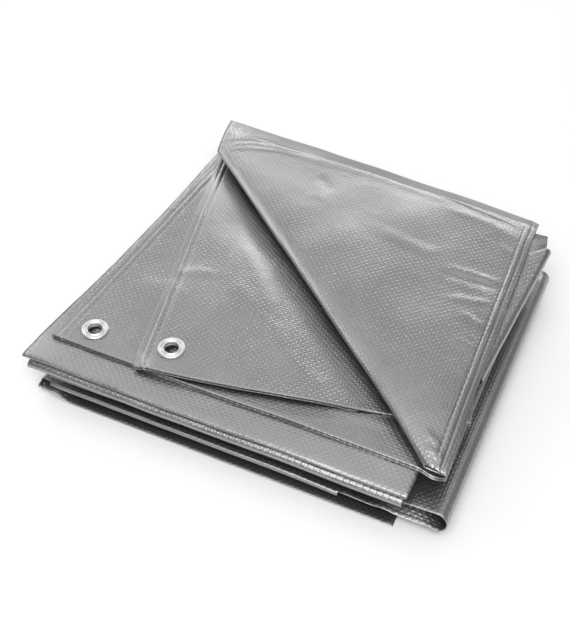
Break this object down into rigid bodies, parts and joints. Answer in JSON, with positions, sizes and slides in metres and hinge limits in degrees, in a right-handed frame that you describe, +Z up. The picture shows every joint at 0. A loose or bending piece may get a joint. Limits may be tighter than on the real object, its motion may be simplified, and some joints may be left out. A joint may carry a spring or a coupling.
{
  "type": "folded tarp",
  "caption": "Silver-grey woven tarp folded into a flat packet, with a corner turned over along a diagonal and eyelets in the hems of its flaps.",
  "frame": {"origin": "middle of the underside, on the surface that it rests on", "axes": "+X along the packet's front, to the right, +Y towards its back, +Z up"},
  "size_m": [0.3874, 0.359, 0.0686],
  "materials": {
    "cloth": "semi-gloss coated weave",
    "eyelet": "polished"
  },
  "bodies": {
    "root": {"tarp_cloth": "cloth", "lower_flap_hem": "cloth", "upper_flap_hem": "cloth", "left_eyelet": "eyelet", "right_eyelet": "eyelet"}
  },
  "joints": []
}
